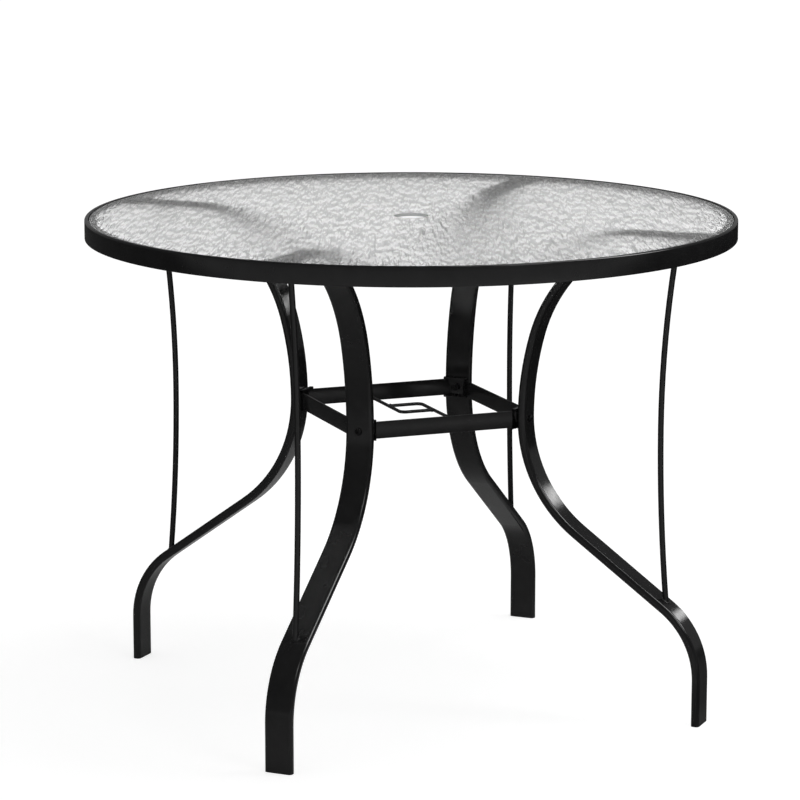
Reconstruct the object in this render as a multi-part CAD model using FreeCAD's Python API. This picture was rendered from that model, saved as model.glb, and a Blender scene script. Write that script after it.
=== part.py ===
import FreeCAD, Part
import math
import os

# Round glass-topped umbrella table on four bent tube legs.
# Origin: the table's centre line on the floor. +Z is up. Legs stand on the diagonals.
# Sizes are in millimetres and degrees.

# Overall sizes
table_diameter = 950.0
table_height = 716.5

# Rim: one rolled steel strip, a skirt outside, a narrow lip on top and a ledge inside
rim_height = 28.4
rim_wall = 1.2
lip_width = 5.5
lip_outer_round = 2.5
lip_inner_round = 0.8
ledge_width = 12.0
skirt_edge_round = 0.5

# Glass pane and the pads that it lies on
glass_thickness = 5.0
glass_recess = 0.8
glass_edge_gap = 1.5
glass_edge_round = 1.2
umbrella_hole_diameter = 50.0
hole_edge_round = 1.0
pad_count = 8
pad_diameter = 8.0
pad_thickness = 2.2

# Leg tube: flat-sided oval, its broad face square to the radius
leg_width = 41.5
leg_thickness = 12.5
leg_corner_radius = 5.0
leg_wall = 1.2

# Leg's centre line, from the floor up: foot, inward bend, shank, waist, outward bends, arm
waist_radius = 182.0
foot_bend_radius = 125.0
waist_bend_radius = 202.0
shank_lean = 54.3
foot_share_of_straights = 0.40
chest_bend_radius = 455.0
chest_lean = 15.8
shoulder_bend_radius = 224.0
shoulder_lean = 60.0
arm_bend_radius = 100.0
arm_end_gap = 1.3

# Plastic plug in each foot
plug_flange = 2.2
plug_depth = 18.0
plug_wall = 1.6
plug_clearance = 0.15

# Support rod, bowed towards the axis, from the shank up to the arm's free stretch
rod_diameter = 8.5
rod_foot_run = 6.0
rod_bow = 11.5
rod_share_of_arm = 0.72

# Waist brace: four flat bars in a square, a channel bracket at each leg
bar_height = 25.0
bar_thickness = 2.5
bar_seat_offset = 13.6
bar_flange_gap = 1.0
brace_below_waist = 1.6
bracket_width = 38.0
bracket_depth = 8.0
bracket_wall = 2.0
bracket_inner_bend = 0.6

# Pole guide: two bent rods that close a square ring in the middle of the brace
guide_rod_diameter = 5.0
guide_pitch = 51.0
guide_bend_radius = 9.0

# Rim saddles under the arms' ends, and the rivet nuts in each arm's lower wall
saddle_length = 40.0
saddle_wall = 2.0
saddle_side_gap = 0.3
saddle_skirt_gap = 1.5
arm_bolt_spacing = 20.0
rivet_nut_diameter = 9.0
rivet_nut_length = 9.0
rivet_nut_bulge_diameter = 11.6
rivet_nut_bulge_height = 1.8
rivet_nut_gap = 0.05

# Fasteners, 6 mm thread
thread_diameter = 6.0
thread_tip_round = 0.7
thread_gap = 0.05
bolt_hole_diameter = 6.6
head_diameter = 10.5
head_height = 3.3
head_crown = 2.0
socket_across_flats = 4.0
socket_depth = 2.0
nut_across_flats = 10.0
nut_height = 5.0
washer_diameter = 12.0
washer_thickness = 1.2
bolt_past_nut = 2.0
arm_bolt_engagement = 8.0

# Where each leg stands, as an angle about the axis from +X
leg_azimuths = {"front": 225.0, "right": 315.0, "back": 45.0, "left": 135.0}
# Which way each bar of the brace faces
bar_azimuths = {"near": 270.0, "right": 0.0, "far": 90.0, "left": 180.0}

# Heights and radii worked out from the sizes above
rim_radius = table_diameter / 2
lip_inner_radius = rim_radius - lip_width
skirt_inner_radius = rim_radius - rim_wall
ledge_inner_radius = lip_inner_radius - ledge_width
glass_top_height = table_height - glass_recess
glass_bottom_height = glass_top_height - glass_thickness
ledge_top_height = glass_bottom_height - pad_thickness
ledge_bottom_height = ledge_top_height - rim_wall
arm_height = ledge_bottom_height - leg_thickness / 2
arm_bottom_height = ledge_bottom_height - leg_thickness
saddle_bottom_height = arm_bottom_height - saddle_wall

# Shape of the leg's upper bends, which fixes the waist's height
shank_angle = math.radians(shank_lean)
chest_angle = math.radians(chest_lean)
shoulder_angle = math.radians(shoulder_lean)
upper_drop = (
    chest_bend_radius * math.sin(chest_angle)
    + shoulder_bend_radius * (math.sin(shoulder_angle) - math.sin(chest_angle))
    + arm_bend_radius * (1 - math.sin(shoulder_angle))
)
waist_height = arm_height - upper_drop
upper_reach = (
    chest_bend_radius * (1 - math.cos(chest_angle))
    + shoulder_bend_radius * (math.cos(chest_angle) - math.cos(shoulder_angle))
    + arm_bend_radius * math.cos(shoulder_angle)
)
arm_start_radius = waist_radius + upper_reach
arm_end_radius = skirt_inner_radius - arm_end_gap

# The two straight runs below the waist take up what height the bends leave
straights_height = (
    waist_height - plug_flange
    - (foot_bend_radius + waist_bend_radius) * math.sin(shank_angle)
)
foot_run = foot_share_of_straights * straights_height
shank_run = (straights_height - foot_run) / math.cos(shank_angle)
foot_radius = (
    waist_radius
    + (foot_bend_radius + waist_bend_radius) * (1 - math.cos(shank_angle))
    + shank_run * math.sin(shank_angle)
)

brace_height = waist_height - brace_below_waist
leg_inner_face = waist_radius - leg_thickness / 2
leg_outer_face = waist_radius + leg_thickness / 2
web_inner_face = leg_inner_face - bracket_wall
bracket_height = bar_height + 2 * (bar_flange_gap + bracket_wall)
bar_outer_distance = (web_inner_face + bar_seat_offset) * math.sqrt(0.5)
bar_inner_distance = bar_outer_distance - bar_thickness
saddle_outer_radius = skirt_inner_radius - saddle_skirt_gap
saddle_inner_radius = saddle_outer_radius - saddle_length
arm_bolt_middle_radius = saddle_outer_radius - saddle_length / 2
arm_bolt_radii = (
    arm_bolt_middle_radius - arm_bolt_spacing / 2,
    arm_bolt_middle_radius + arm_bolt_spacing / 2,
)

Z_AXIS = FreeCAD.Vector(0, 0, 1)
ORIGIN = FreeCAD.Vector(0, 0, 0)


def point(x, y, z):
    return FreeCAD.Vector(x, y, z)


def line(a, b):
    return Part.LineSegment(a, b).toShape()


def arc(a, middle, b):
    return Part.Arc(a, middle, b).toShape()


def turned(shape, azimuth):
    """A copy of a shape turned about the table's axis."""
    copy = shape.copy()
    copy.rotate(ORIGIN, Z_AXIS, azimuth)
    return copy


class CentreLine:
    """A tube's centre line in the radial plane, drawn by going forward and turning.

    The heading is measured from straight up, positive outwards."""

    def __init__(self, radius, height, heading=0.0):
        self.radius = radius
        self.height = height
        self.heading = math.radians(heading)
        self.edges = []

    def here(self):
        return point(self.radius, 0, self.height)

    def step(self, length, heading):
        self.radius += length * math.sin(heading)
        self.height += length * math.cos(heading)

    def forward(self, length):
        start = self.here()
        self.step(length, self.heading)
        self.edges.append(line(start, self.here()))

    def turn(self, bend_radius, degrees):
        """Go round an arc of this radius through this turn, outwards if positive."""
        start = self.here()
        quarter = math.radians(degrees) / 4
        half_chord = 2 * bend_radius * math.sin(abs(quarter))
        self.step(half_chord, self.heading + quarter)
        middle = self.here()
        self.step(half_chord, self.heading + 3 * quarter)
        self.heading += 4 * quarter
        self.edges.append(arc(start, middle, self.here()))

    def wire(self):
        return Part.Wire(self.edges)


def rounded_outline(corners):
    """A closed outline: each corner is a point and the radius that rounds it, or 0."""
    starts = []
    ends = []
    middles = []
    for k, (corner, radius) in enumerate(corners):
        before = (corners[k - 1][0] - corner).normalize()
        after = (corners[(k + 1) % len(corners)][0] - corner).normalize()
        half_angle = before.getAngle(after) / 2
        setback = radius / math.tan(half_angle)
        inward = (before + after).normalize()
        starts.append(corner + before * setback)
        ends.append(corner + after * setback)
        middles.append(corner + inward * (radius / math.sin(half_angle) - radius))
    edges = []
    for k, (corner, radius) in enumerate(corners):
        if radius > 0:
            edges.append(arc(starts[k], middles[k], ends[k]))
        following = starts[(k + 1) % len(corners)]
        edges.append(line(ends[k], following))
    return Part.Wire(edges)


def rounded_rectangle(length_x, length_y, radius, height):
    """A closed outline in a level plane, centred on the axis."""
    x = length_x / 2
    y = length_y / 2
    return rounded_outline([
        (point(x, y, height), radius),
        (point(-x, y, height), radius),
        (point(-x, -y, height), radius),
        (point(x, -y, height), radius),
    ])


def revolved(outline):
    """The solid that a closed outline in the radial plane makes about the table's axis."""
    return Part.Face(outline).revolve(ORIGIN, Z_AXIS, 360)


def polygon(points):
    return Part.makePolygon(list(points) + [points[0]])


def hexagon_prism(across_flats, start, direction, length):
    """A hexagonal bar with its axis from start along direction."""
    corner = across_flats / math.sqrt(3)
    outline = polygon([
        point(corner * math.cos(math.radians(60 * k)), corner * math.sin(math.radians(60 * k)), 0)
        for k in range(6)
    ])
    prism = Part.Face(outline).extrude(point(0, 0, length))
    prism.Placement = FreeCAD.Placement(start, FreeCAD.Rotation(Z_AXIS, direction))
    return prism


def button_bolt(seat, direction, length):
    """A socket button-head bolt: its head's underside at seat, its thread along direction."""
    rim = head_diameter / 2
    thread = thread_diameter / 2
    bolt = revolved(rounded_outline([
        (point(0, 0, -head_height), 0),
        (point(rim, 0, -head_height), head_crown),
        (point(rim, 0, 0), 0),
        (point(thread, 0, 0), 0),
        (point(thread, 0, length), thread_tip_round),
        (point(0, 0, length), 0),
    ]))
    socket = hexagon_prism(socket_across_flats, point(0, 0, -head_height), Z_AXIS, socket_depth)
    bolt = bolt.cut(socket)
    bolt.Placement = FreeCAD.Placement(seat, FreeCAD.Rotation(Z_AXIS, direction))
    return bolt


def washer(seat, direction):
    ring = Part.makeCylinder(washer_diameter / 2, washer_thickness, seat, direction)
    hole = Part.makeCylinder(bolt_hole_diameter / 2, washer_thickness, seat, direction)
    return ring.cut(hole)


def leg_centre_line():
    path = CentreLine(foot_radius, plug_flange)
    path.forward(foot_run)
    path.turn(foot_bend_radius, -shank_lean)
    path.forward(shank_run)
    path.turn(waist_bend_radius, shank_lean)
    path.turn(chest_bend_radius, chest_lean)
    path.turn(shoulder_bend_radius, shoulder_lean - chest_lean)
    path.turn(arm_bend_radius, 90 - shoulder_lean)
    path.forward(arm_end_radius - arm_start_radius)
    return path.wire()


def leg_sweep(inset):
    """The leg's outer skin, or its bore when inset by the wall."""
    outline = rounded_rectangle(
        leg_thickness - 2 * inset, leg_width - 2 * inset, leg_corner_radius - inset, plug_flange
    )
    outline.translate(point(foot_radius, 0, 0))
    return leg_centre_line().makePipeShell([outline], True, False)


def leg_tube(skin):
    """The leg: a hollow tube with its bolt holes at the waist and under the arm."""
    tube = skin.cut(leg_sweep(leg_wall))
    waist_hole = Part.makeCylinder(
        bolt_hole_diameter / 2, 2 * leg_thickness,
        point(waist_radius - leg_thickness, 0, brace_height), point(1, 0, 0),
    )
    tube = tube.cut(waist_hole)
    for radius in arm_bolt_radii:
        arm_hole = Part.makeCylinder(
            rivet_nut_diameter / 2 + rivet_nut_gap, leg_thickness / 2,
            point(radius, 0, arm_bottom_height), Z_AXIS,
        )
        tube = tube.cut(arm_hole)
    return tube


def foot_plug():
    """A plastic cup pushed into the foot, its flange as wide as the tube."""
    flange = Part.Face(rounded_rectangle(leg_thickness, leg_width, leg_corner_radius, 0))
    flange = flange.extrude(point(0, 0, plug_flange))
    inset = leg_wall + plug_clearance
    body = Part.Face(rounded_rectangle(
        leg_thickness - 2 * inset, leg_width - 2 * inset, leg_corner_radius - inset, plug_flange
    )).extrude(point(0, 0, plug_depth))
    hollow_inset = inset + plug_wall
    hollow = Part.Face(rounded_rectangle(
        leg_thickness - 2 * hollow_inset, leg_width - 2 * hollow_inset,
        leg_corner_radius - hollow_inset, plug_flange,
    )).extrude(point(0, 0, plug_depth))
    plug = flange.fuse(body.cut(hollow)).removeSplitter()
    plug.translate(point(foot_radius, 0, 0))
    return plug


def rod_arc(waist, end):
    """Radius and turn of the arc that leaves the rod's waist upright and passes through end."""
    rise = end.z - waist.z
    reach = end.x - waist.x
    radius = (rise * rise + reach * reach) / (2 * reach)
    return radius, math.asin(rise / radius)


def on_rod_arc(waist, radius, angle):
    return point(waist.x + radius * (1 - math.cos(angle)), 0, waist.z + radius * math.sin(angle))


def support_rod(skin):
    """A round rod, bowed inwards, trimmed to the leg's faces at both ends."""
    shank_start_radius = foot_radius - foot_bend_radius * (1 - math.cos(shank_angle))
    shank_start_height = plug_flange + foot_run + foot_bend_radius * math.sin(shank_angle)
    foot = point(
        shank_start_radius - rod_foot_run * math.sin(shank_angle)
        + leg_thickness / 2 * math.cos(shank_angle),
        0,
        shank_start_height + rod_foot_run * math.cos(shank_angle)
        + leg_thickness / 2 * math.sin(shank_angle),
    )
    free_arm_run = saddle_inner_radius - arm_start_radius
    head = point(arm_start_radius + rod_share_of_arm * free_arm_run, 0, arm_bottom_height)
    waist = point(foot.x - rod_bow, 0, waist_height)

    # Each end runs on into the tube, and the tube then trims it
    overrun = leg_thickness / 2
    lower_radius, lower_angle = rod_arc(waist, foot)
    upper_radius, upper_angle = rod_arc(waist, head)
    lower_angle -= overrun / lower_radius
    upper_angle += overrun / upper_radius
    path = Part.Wire([
        arc(on_rod_arc(waist, lower_radius, lower_angle),
            on_rod_arc(waist, lower_radius, lower_angle / 2), waist),
        arc(waist, on_rod_arc(waist, upper_radius, upper_angle / 2),
            on_rod_arc(waist, upper_radius, upper_angle)),
    ])
    start = on_rod_arc(waist, lower_radius, lower_angle)
    tangent = point(math.sin(lower_angle), 0, math.cos(lower_angle))
    outline = Part.Wire([Part.makeCircle(rod_diameter / 2, start, tangent)])
    return path.makePipeShell([outline], True, False).cut(skin)


def top_rim():
    """The rim's rolled strip, turned about the axis."""
    low = table_height - rim_height
    high = table_height
    under_lip = high - rim_wall
    inner_wall_back = lip_inner_radius + rim_wall
    return revolved(rounded_outline([
        (point(rim_radius, 0, low), skirt_edge_round),
        (point(rim_radius, 0, high), lip_outer_round),
        (point(lip_inner_radius, 0, high), lip_inner_round),
        (point(lip_inner_radius, 0, ledge_top_height), 0),
        (point(ledge_inner_radius, 0, ledge_top_height), 0),
        (point(ledge_inner_radius, 0, ledge_bottom_height), 0),
        (point(inner_wall_back, 0, ledge_bottom_height), 0),
        (point(inner_wall_back, 0, under_lip), 0),
        (point(skirt_inner_radius, 0, under_lip), lip_outer_round - rim_wall),
        (point(skirt_inner_radius, 0, low), 0),
    ]))


def glass_top():
    """The pane: a disc with the umbrella hole in its middle and ground edges."""
    outer = lip_inner_radius - glass_edge_gap
    hole = umbrella_hole_diameter / 2
    return revolved(rounded_outline([
        (point(hole, 0, glass_bottom_height), hole_edge_round),
        (point(outer, 0, glass_bottom_height), glass_edge_round),
        (point(outer, 0, glass_top_height), glass_edge_round),
        (point(hole, 0, glass_top_height), hole_edge_round),
    ]))


def glass_pads():
    """Rubber pads on the ledge, midway between the arms."""
    middle_radius = ledge_inner_radius + ledge_width / 2
    pads = []
    for k in range(pad_count):
        pad = Part.makeCylinder(pad_diameter / 2, pad_thickness,
                                point(middle_radius, 0, ledge_top_height), Z_AXIS)
        pads.append(turned(pad, (k + 0.5) * 360 / pad_count))
    return Part.makeCompound(pads)


def rim_saddle():
    """A steel channel under the arm's end, its cheeks welded up under the rim's ledge."""
    inner_half = leg_width / 2 + saddle_side_gap
    outer_half = inner_half + saddle_wall
    outline = polygon([
        point(saddle_inner_radius, -outer_half, saddle_bottom_height),
        point(saddle_inner_radius, outer_half, saddle_bottom_height),
        point(saddle_inner_radius, outer_half, ledge_bottom_height),
        point(saddle_inner_radius, inner_half, ledge_bottom_height),
        point(saddle_inner_radius, inner_half, arm_bottom_height),
        point(saddle_inner_radius, -inner_half, arm_bottom_height),
        point(saddle_inner_radius, -inner_half, ledge_bottom_height),
        point(saddle_inner_radius, -outer_half, ledge_bottom_height),
    ])
    saddle = Part.Face(outline).extrude(point(saddle_length, 0, 0))
    for radius in arm_bolt_radii:
        saddle = saddle.cut(Part.makeCylinder(
            bolt_hole_diameter / 2, saddle_wall, point(radius, 0, saddle_bottom_height), Z_AXIS
        ))
    return saddle


def rivet_nut(radius):
    """A rivet nut flush with the arm's lower face, its bulge drawn up on the wall's inside."""
    wall_top = arm_bottom_height + leg_wall
    sleeve = Part.makeCylinder(rivet_nut_diameter / 2, rivet_nut_length,
                               point(radius, 0, arm_bottom_height), Z_AXIS)
    bulge = Part.makeCylinder(rivet_nut_bulge_diameter / 2, rivet_nut_bulge_height,
                              point(radius, 0, wall_top), Z_AXIS)
    thread = Part.makeCylinder(thread_diameter / 2 + thread_gap, rivet_nut_length,
                               point(radius, 0, arm_bottom_height), Z_AXIS)
    return sleeve.fuse(bulge).cut(thread)


def arm_bolts_and_washers():
    """One arm's two bolts from below, and the washers under their heads."""
    washer_seat = saddle_bottom_height - washer_thickness
    length = washer_thickness + saddle_wall + arm_bolt_engagement
    bolts = [button_bolt(point(radius, 0, washer_seat), Z_AXIS, length) for radius in arm_bolt_radii]
    washers = [washer(point(radius, 0, washer_seat), Z_AXIS) for radius in arm_bolt_radii]
    return bolts, washers


def brace_bracket():
    """A bent channel, its web on the leg's inner face, its flanges pointing to the axis."""
    low = brace_height - bracket_height / 2
    high = brace_height + bracket_height / 2
    tip = leg_inner_face - bracket_depth
    outer_bend = bracket_inner_bend + bracket_wall
    side = -bracket_width / 2
    channel = Part.Face(rounded_outline([
        (point(tip, side, high), 0),
        (point(leg_inner_face, side, high), outer_bend),
        (point(leg_inner_face, side, low), outer_bend),
        (point(tip, side, low), 0),
        (point(tip, side, low + bracket_wall), 0),
        (point(web_inner_face, side, low + bracket_wall), bracket_inner_bend),
        (point(web_inner_face, side, high - bracket_wall), bracket_inner_bend),
        (point(tip, side, high - bracket_wall), 0),
    ])).extrude(point(0, bracket_width, 0))
    hole = Part.makeCylinder(bolt_hole_diameter / 2, bracket_depth,
                             point(tip, 0, brace_height), point(1, 0, 0))
    return channel.cut(hole)


def brace_bar():
    """A flat bar on edge, its ends cut at 45 degrees to lie on the brackets' webs."""
    corner_sum = web_inner_face * math.sqrt(2)
    outer_half = corner_sum - bar_outer_distance
    inner_half = corner_sum - bar_inner_distance
    low = brace_height - bar_height / 2
    outline = polygon([
        point(bar_outer_distance, -outer_half, low),
        point(bar_outer_distance, outer_half, low),
        point(bar_inner_distance, inner_half, low),
        point(bar_inner_distance, -inner_half, low),
    ])
    return Part.Face(outline).extrude(point(0, 0, bar_height))


def guide_rod():
    """A rod from the far bar to the guide ring's near corner and across to the other rod."""
    side = guide_pitch / 2
    bend = guide_bend_radius
    diagonal = bend * (1 - math.sqrt(0.5))
    start = point(-side, bar_inner_distance, brace_height)
    before_bend = point(-side, -side + bend, brace_height)
    after_bend = point(-side + bend, -side, brace_height)
    end = point(side - guide_rod_diameter / 2, -side, brace_height)
    path = Part.Wire([
        line(start, before_bend),
        arc(before_bend, point(-side + diagonal, -side + diagonal, brace_height), after_bend),
        line(after_bend, end),
    ])
    outline = Part.Wire([Part.makeCircle(guide_rod_diameter / 2, start, point(0, -1, 0))])
    return path.makePipeShell([outline], True, False)


def brace_bolt():
    """The bolt through the leg's waist and the bracket's web, its head outside.

    The leg's outer face is hollow there, so the head's lower rim stands on the bend."""
    bend = waist_bend_radius - leg_thickness / 2
    rim_drop = brace_below_waist + head_diameter / 2
    stand = bend - math.sqrt(bend * bend - rim_drop * rim_drop)
    grip = leg_thickness + bracket_wall + washer_thickness + nut_height
    seat = point(leg_outer_face + stand, 0, brace_height)
    return button_bolt(seat, point(-1, 0, 0), stand + grip + bolt_past_nut)


def brace_nut():
    seat = point(web_inner_face - washer_thickness, 0, brace_height)
    nut = hexagon_prism(nut_across_flats, seat, point(-1, 0, 0), nut_height)
    bore = Part.makeCylinder(thread_diameter / 2 + thread_gap, nut_height, seat, point(-1, 0, 0))
    return nut.cut(bore)


def save(name, shape):
    """Write one node, and print how many solids it holds and whether they are sound."""
    shape.exportStep(os.path.join("parts", name + ".step"))
    print(name, len(shape.Solids), "solids, valid", shape.isValid(),
          "volume %.0f" % sum(solid.Volume for solid in shape.Solids))


def for_each_leg(shapes):
    """Identical pieces at every leg, as one group."""
    return Part.makeCompound(
        [turned(shape, azimuth) for azimuth in leg_azimuths.values() for shape in shapes]
    )


def main():
    os.makedirs("parts", exist_ok=True)
    save("top_rim", top_rim())
    save("glass_top", glass_top())
    save("glass_pads", glass_pads())

    skin = leg_sweep(0)
    at_every_leg = {
        "leg": leg_tube(skin),
        "foot_plug": foot_plug(),
        "support_rod": support_rod(skin),
        "rim_saddle": rim_saddle(),
        "brace_bracket": brace_bracket(),
    }
    for name, shape in at_every_leg.items():
        for side, azimuth in leg_azimuths.items():
            save(name + "_" + side, turned(shape, azimuth))

    bar = brace_bar()
    for side, azimuth in bar_azimuths.items():
        save("brace_bar_" + side, turned(bar, azimuth))
    rod = guide_rod()
    save("guide_rod_left", rod)
    save("guide_rod_right", turned(rod, 180))

    bolts, washers = arm_bolts_and_washers()
    save("arm_rivet_nuts", for_each_leg([rivet_nut(radius) for radius in arm_bolt_radii]))
    save("arm_bolts", for_each_leg(bolts))
    save("arm_washers", for_each_leg(washers))
    save("brace_bolts", for_each_leg([brace_bolt()]))
    save("brace_washers", for_each_leg([
        washer(point(web_inner_face - washer_thickness, 0, brace_height), point(1, 0, 0))
    ]))
    save("brace_nuts", for_each_leg([brace_nut()]))
    print("waist height %.1f, foot radius %.1f, foot run %.1f, shank %.1f, arm from %.1f to %.1f"
          % (waist_height, foot_radius, foot_run, shank_run, arm_start_radius, arm_end_radius))


main()
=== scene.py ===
import math

import bmesh
import bpy
from mathutils import Matrix, Vector


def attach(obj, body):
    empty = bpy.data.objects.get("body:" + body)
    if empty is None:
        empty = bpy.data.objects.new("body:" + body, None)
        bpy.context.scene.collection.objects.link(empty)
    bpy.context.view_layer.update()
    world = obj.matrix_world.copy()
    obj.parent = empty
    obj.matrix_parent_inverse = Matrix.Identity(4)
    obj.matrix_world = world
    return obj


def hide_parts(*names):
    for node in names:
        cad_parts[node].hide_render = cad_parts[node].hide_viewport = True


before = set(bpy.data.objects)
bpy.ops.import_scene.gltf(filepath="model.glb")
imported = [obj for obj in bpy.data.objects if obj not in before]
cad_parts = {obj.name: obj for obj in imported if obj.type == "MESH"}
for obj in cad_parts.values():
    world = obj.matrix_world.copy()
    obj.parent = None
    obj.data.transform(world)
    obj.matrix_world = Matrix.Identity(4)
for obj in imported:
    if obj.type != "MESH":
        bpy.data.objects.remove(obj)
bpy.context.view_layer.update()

scene = bpy.context.scene
MM = 0.001
white = (1, 1, 1, 1)
sharp_angle = math.radians(28)
bevel_angle = math.radians(30)

# Level directions: the way the photograph looks over the table, and to its right
photo_along = Vector((0.367, 0.930, 0.0))
photo_across = Vector((0.930, -0.367, 0.0))

# Rim: rolled strip with a skirt outside, a narrow lip on top and a ledge inside
rim_radius = 475 * MM
table_height = 716.5 * MM
skirt_low = 688.1 * MM
strip_wall = 1.2 * MM
lip_inner_radius = 469.5 * MM
ledge_inner_radius = 457.5 * MM
ledge_top = 708.5 * MM
ledge_bottom = 707.3 * MM
rim_edge = 0.5 * MM
rim_top_bend = 2.5 * MM
lip_bend = 0.8 * MM
ledge_inner_bend = 0.6 * MM
ledge_outer_bend = 1.6 * MM
rim_steps = 360

# Glass pane with the umbrella hole; its underside is rippled, its top is smooth
pane_radius = 468 * MM
hole_radius = 25 * MM
pane_bottom = 710.7 * MM
pane_thickness = 5 * MM
pane_edge_round = 1.2 * MM
hole_edge_round = 1.0 * MM
# Rings of its mesh, counted from the axis, and those of them that the hole takes away
pane_rings = 138
hole_rings = 7

# Rolled pattern: soft pebbles and waves, drawn out along the way the sheet was rolled
ripple_size = 8.0 * MM
ripple_depth = 0.85 * MM
ripple_fade = 4.0 * MM
ripple_stretch = 6.0
grain_size = 5.0 * MM
grain_stretch = 8.0
pebble_share = 0.55
wave_share = 0.9
wave_scale = 0.8
pattern_low = 0.35
pattern_high = 1.15
pane_seed = 4.0
seed_step = 91.7
rolled_along = photo_along
rolled_across = photo_across

# Pads between the ledge and the glass
pad_radius = 4 * MM
pad_height = pane_bottom - ledge_top
pad_count = 8

# Legs and arms, from the frame
leg_width = 41.5 * MM
leg_thickness = 12.5 * MM
leg_corner = 5 * MM
arm_bottom = 694.8 * MM
brace_height = 429.2 * MM
leg_inner_face = 175.75 * MM
leg_outer_face = 188.25 * MM
foot_radius = 454.3 * MM
first_leg = math.radians(45)

# Support rods, from the frame: where each one's axis meets the shank's face and the arm's
rod_radius = 4.25 * MM
rod_foot = Vector((401.0, 0, 177.5)) * MM
rod_head = Vector((410.0, 0, 694.8)) * MM
shank_lean = math.radians(54.3)
rod_foot_lean = math.radians(5.2)
rod_head_lean = math.radians(8.8)

# Brace
bracket_width = 38 * MM
bracket_depth = 8 * MM
bracket_height = 31 * MM
bracket_wall = 2 * MM
bracket_bend = 2.6 * MM
web_inner_face = leg_inner_face - bracket_wall
bar_outer = 132.48 * MM
bar_thickness = 2.5 * MM
bar_height = 25 * MM
bar_edge_round = 0.6 * MM
guide_rod_radius = 2.5 * MM
guide_half_pitch = 25.5 * MM

# Saddles under the arms' ends
saddle_inner = 432.3 * MM
saddle_outer = 472.3 * MM
saddle_wall = 2 * MM
saddle_bend = 2 * MM
saddle_half = leg_width / 2 + 0.3 * MM
saddle_bottom = arm_bottom - saddle_wall

# Fasteners: socket button-head bolts of 6 mm with their washers and nuts
arm_bolt_radii = (442.3 * MM, 462.3 * MM)
arm_bolt_length = 11.2 * MM
brace_bolt_length = 22.86 * MM
threaded_length = 8 * MM
thread_pitch = 1.0 * MM
bolt_radius = 3.0 * MM
bolt_tip = 2.5 * MM
thread_root = 2.55 * MM
head_radius = 5.25 * MM
head_height = 3.3 * MM
dome_radius = 2.05 * MM
socket_flats = 4.0 * MM
socket_mouth = 2.55 * MM
socket_floor = 1.3 * MM
washer_hole = 3.3 * MM
washer_radius = 6 * MM
washer_thickness = 1.2 * MM
nut_bore = 3.05 * MM
nut_flats = 10 * MM
nut_height = 5 * MM
# The legs' outer faces are hollow at the waist, and the heads' rims stand this much off them
bolt_stand = 0.158 * MM


# Node trees

def add(tree, kind, sockets=None, **settings):
    """One node, with its settings and what its named or numbered input sockets get."""
    node = tree.nodes.new(kind)
    for name, value in settings.items():
        setattr(node, name, value)
    for key, value in (sockets or {}).items():
        if isinstance(value, bpy.types.NodeSocket):
            tree.links.new(value, node.inputs[key])
        else:
            node.inputs[key].default_value = value
    return node


def maths(tree, operation, *values):
    """The result of one Math node."""
    return add(tree, "ShaderNodeMath", dict(enumerate(values)), operation=operation).outputs[0]


def measured(tree, operation, *vectors):
    """The number that one Vector Math node gives."""
    node = add(tree, "ShaderNodeVectorMath", dict(enumerate(vectors)), operation=operation)
    return node.outputs["Value"]


def vector(tree, x=0.0, y=0.0, z=0.0):
    """Three numbers as one vector."""
    return add(tree, "ShaderNodeCombineXYZ", {"X": x, "Y": y, "Z": z}).outputs[0]


def parts(tree, place):
    """The X, Y and Z of a vector."""
    return add(tree, "ShaderNodeSeparateXYZ", {0: place}).outputs


def position(tree):
    """Where each point of the geometry is."""
    return add(tree, "GeometryNodeInputPosition").outputs[0]


def ranged(tree, value, low, high, from_low=0.3, from_high=0.7, **settings):
    """A number that goes from low to high as value goes through its range."""
    return add(tree, "ShaderNodeMapRange", {
        "Value": value, "From Min": from_low, "From Max": from_high,
        "To Min": low, "To Max": high}, **settings).outputs[0]


def choose(tree, test, if_true, if_false):
    """One of two numbers."""
    sockets = {"Switch": test, "True": if_true, "False": if_false}
    return add(tree, "GeometryNodeSwitch", sockets, input_type="FLOAT").outputs[0]


def smooth(tree, geometry, is_smooth=True):
    """The geometry with smooth or flat shading."""
    return add(tree, "GeometryNodeSetShadeSmooth", {
        "Geometry": geometry, "Shade Smooth": is_smooth}).outputs[0]


def recipe(name, **inputs):
    """Starts a Geometry Nodes tree with named inputs. Gives it, their sockets and its output."""
    tree = bpy.data.node_groups.new(name, "GeometryNodeTree")
    kinds = {float: "NodeSocketFloat", int: "NodeSocketInt", type(None): "NodeSocketMaterial"}
    tree.interface.new_socket("Geometry", in_out="INPUT", socket_type="NodeSocketGeometry")
    tree.interface.new_socket("Geometry", in_out="OUTPUT", socket_type="NodeSocketGeometry")
    for key, value in {"finish": None, **inputs}.items():
        label = key.replace("_", " ").capitalize()
        socket = tree.interface.new_socket(label, in_out="INPUT", socket_type=kinds[type(value)])
        if value is not None:
            socket.default_value = value
    entry = tree.nodes.new("NodeGroupInput")
    return tree, entry.outputs, tree.nodes.new("NodeGroupOutput")


def end_recipe(tree, given, out, geometry, where=True):
    """Realize Instances and Set Material, last."""
    real = add(tree, "GeometryNodeRealizeInstances", {0: geometry}).outputs[0]
    done = add(tree, "GeometryNodeSetMaterial", {
        "Geometry": real, "Selection": where, "Material": given["Finish"]})
    tree.links.new(done.outputs[0], out.inputs[0])


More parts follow.
